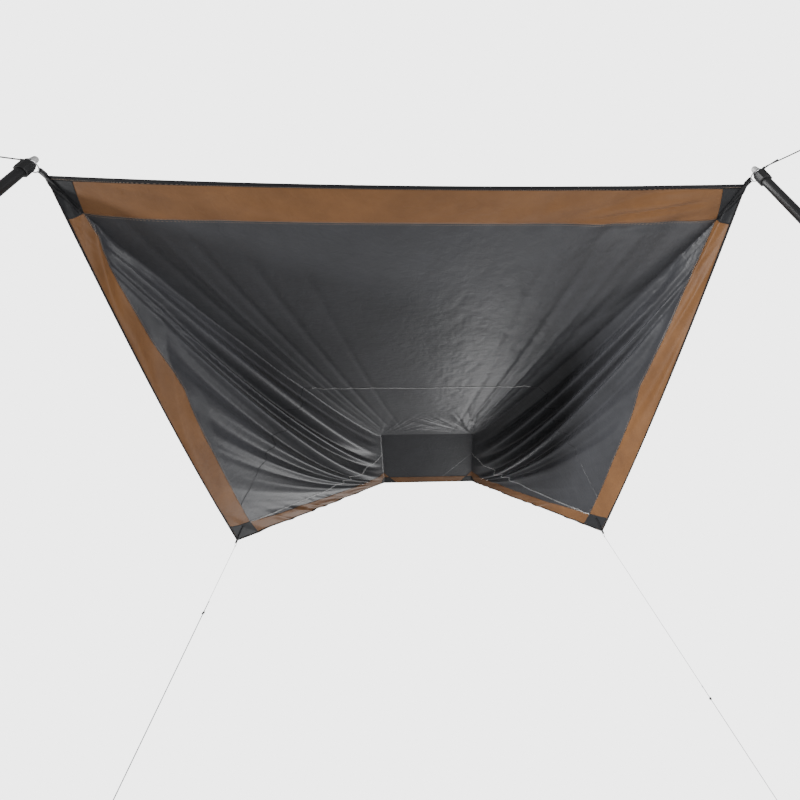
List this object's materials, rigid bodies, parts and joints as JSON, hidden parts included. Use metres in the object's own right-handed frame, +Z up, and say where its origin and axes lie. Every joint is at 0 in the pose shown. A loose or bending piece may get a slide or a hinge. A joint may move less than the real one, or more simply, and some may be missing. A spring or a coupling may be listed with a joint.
{
  "type": "sun canopy on poles",
  "caption": "Sun canopy: a sewn sheet spread from a flat roof panel over telescopic poles at its front corners, held down by guylines at its side corners.",
  "frame": {"origin": "underside of the roof panel, at the panel's middle", "axes": "+X across to the right as seen from the front, +Y from the front edge back over the roof panel, +Z up"},
  "size_m": [3.425, 5.1729, 3.6206],
  "materials": {
    "cloth": "coated cloth, dark grey",
    "border": "coated cloth, brown",
    "patch": "coated cloth, black",
    "binding": "woven tape, black",
    "webbing": "flat webbing, black",
    "ring": "polished steel wire",
    "black_tube": "black powder coat on aluminium",
    "black_plastic": "moulded, satin",
    "top_tube": "satin anodised",
    "tip": "moulded, light grey",
    "rubber": "moulded, dull",
    "black_cord": "braided line, black",
    "light_cord": "braided line, light grey"
  },
  "bodies": {
    "sheet": {"front_panel": "cloth", "roof_panel": "cloth", "rear_gore_left": "cloth", "rear_gore_right": "cloth", "front_border": "border", "rear_border": "border", "side_border_left": "border", "side_border_right": "border", "rear_side_border_left": "border", "rear_side_border_right": "border", "front_patch_left": "patch", "front_patch_right": "patch", "side_patch_left": "patch", "side_patch_right": "patch", "rear_patch_left": "patch", "rear_patch_right": "patch", "front_binding": "binding", "rear_binding": "binding", "side_binding_left": "binding", "side_binding_right": "binding", "rear_side_binding_left": "binding", "rear_side_binding_right": "binding", "front_strap_left": "webbing", "front_strap_right": "webbing", "side_strap_left": "webbing", "side_strap_right": "webbing", "side_guyline_knot_left": "light_cord", "side_guyline_knot_right": "light_cord", "side_guyline_left": "light_cord", "side_guyline_right": "light_cord", "side_guyline_stopper_left": "light_cord", "side_guyline_stopper_right": "light_cord"},
    "pole_left": {"front_ring_left": "ring", "pole_middle_tube_left": "black_tube", "front_guyline_eye_left": "black_cord", "front_guyline_left": "black_cord", "front_guyline_end_left": "black_cord"},
    "pole_left_top": {"pole_top_tube_left": "top_tube", "pole_tip_left": "tip"},
    "pole_left_upper_collar": {"pole_upper_collar_left": "black_plastic"},
    "pole_left_bottom": {"pole_bottom_tube_left": "black_tube", "pole_foot_left": "rubber"},
    "pole_left_lower_collar": {"pole_lower_collar_left": "black_plastic"},
    "runner_left": {"side_guyline_runner_left": "black_plastic"},
    "pole_right": {"front_ring_right": "ring", "pole_middle_tube_right": "black_tube", "front_guyline_eye_right": "black_cord", "front_guyline_right": "black_cord", "front_guyline_end_right": "black_cord"},
    "pole_right_top": {"pole_top_tube_right": "top_tube", "pole_tip_right": "tip"},
    "pole_right_upper_collar": {"pole_upper_collar_right": "black_plastic"},
    "pole_right_bottom": {"pole_bottom_tube_right": "black_tube", "pole_foot_right": "rubber"},
    "pole_right_lower_collar": {"pole_lower_collar_right": "black_plastic"},
    "runner_right": {"side_guyline_runner_right": "black_plastic"}
  },
  "joints": [
    {"name": "pole_left_swing", "type": "hinge", "parent": "sheet", "child": "pole_left", "pos_m": [-1.33174, -4.35584, -1.56879], "axis": [0.8034, -0.5954, 0], "range_deg": [-30, 75]},
    {"name": "pole_left_top_slide", "type": "slide", "parent": "pole_left", "child": "pole_left_top", "axis": [0, 0, 1], "range_m": [0, 0.45]},
    {"name": "pole_left_upper_twist", "type": "hinge", "parent": "pole_left", "child": "pole_left_upper_collar", "pos_m": [-1.34957, -4.3799, -1.56879], "axis": [0, 0, 1], "range_deg": [0, 90]},
    {"name": "pole_left_bottom_slide", "type": "slide", "parent": "pole_left", "child": "pole_left_bottom", "axis": [0, 0, 1], "range_m": [0, 0.7]},
    {"name": "pole_left_lower_twist", "type": "hinge", "parent": "pole_left_bottom", "child": "pole_left_lower_collar", "pos_m": [-1.34957, -4.3799, -1.56879], "axis": [0, 0, 1], "range_deg": [0, 90]},
    {"name": "runner_left_slide", "type": "slide", "parent": "sheet", "child": "runner_left", "axis": [0.1476, 0.0984, 0.9841], "range_m": [-0.3, 0.05]},
    {"name": "pole_right_swing", "type": "hinge", "parent": "sheet", "child": "pole_right", "pos_m": [1.33178, -4.35589, -1.56844], "axis": [0.8034, 0.5954, 0], "range_deg": [-30, 75]},
    {"name": "pole_right_top_slide", "type": "slide", "parent": "pole_right", "child": "pole_right_top", "axis": [0, 0, 1], "range_m": [0, 0.45]},
    {"name": "pole_right_upper_twist", "type": "hinge", "parent": "pole_right", "child": "pole_right_upper_collar", "pos_m": [1.34961, -4.37995, -1.56844], "axis": [0, 0, 1], "range_deg": [0, 90]},
    {"name": "pole_right_bottom_slide", "type": "slide", "parent": "pole_right", "child": "pole_right_bottom", "axis": [0, 0, 1], "range_m": [0, 0.7]},
    {"name": "pole_right_lower_twist", "type": "hinge", "parent": "pole_right_bottom", "child": "pole_right_lower_collar", "pos_m": [1.34961, -4.37995, -1.56844], "axis": [0, 0, 1], "range_deg": [0, 90]},
    {"name": "runner_right_slide", "type": "slide", "parent": "sheet", "child": "runner_right", "axis": [-0.2844, 0.1422, 0.9481], "range_m": [-0.3, 0.05]}
  ]
}
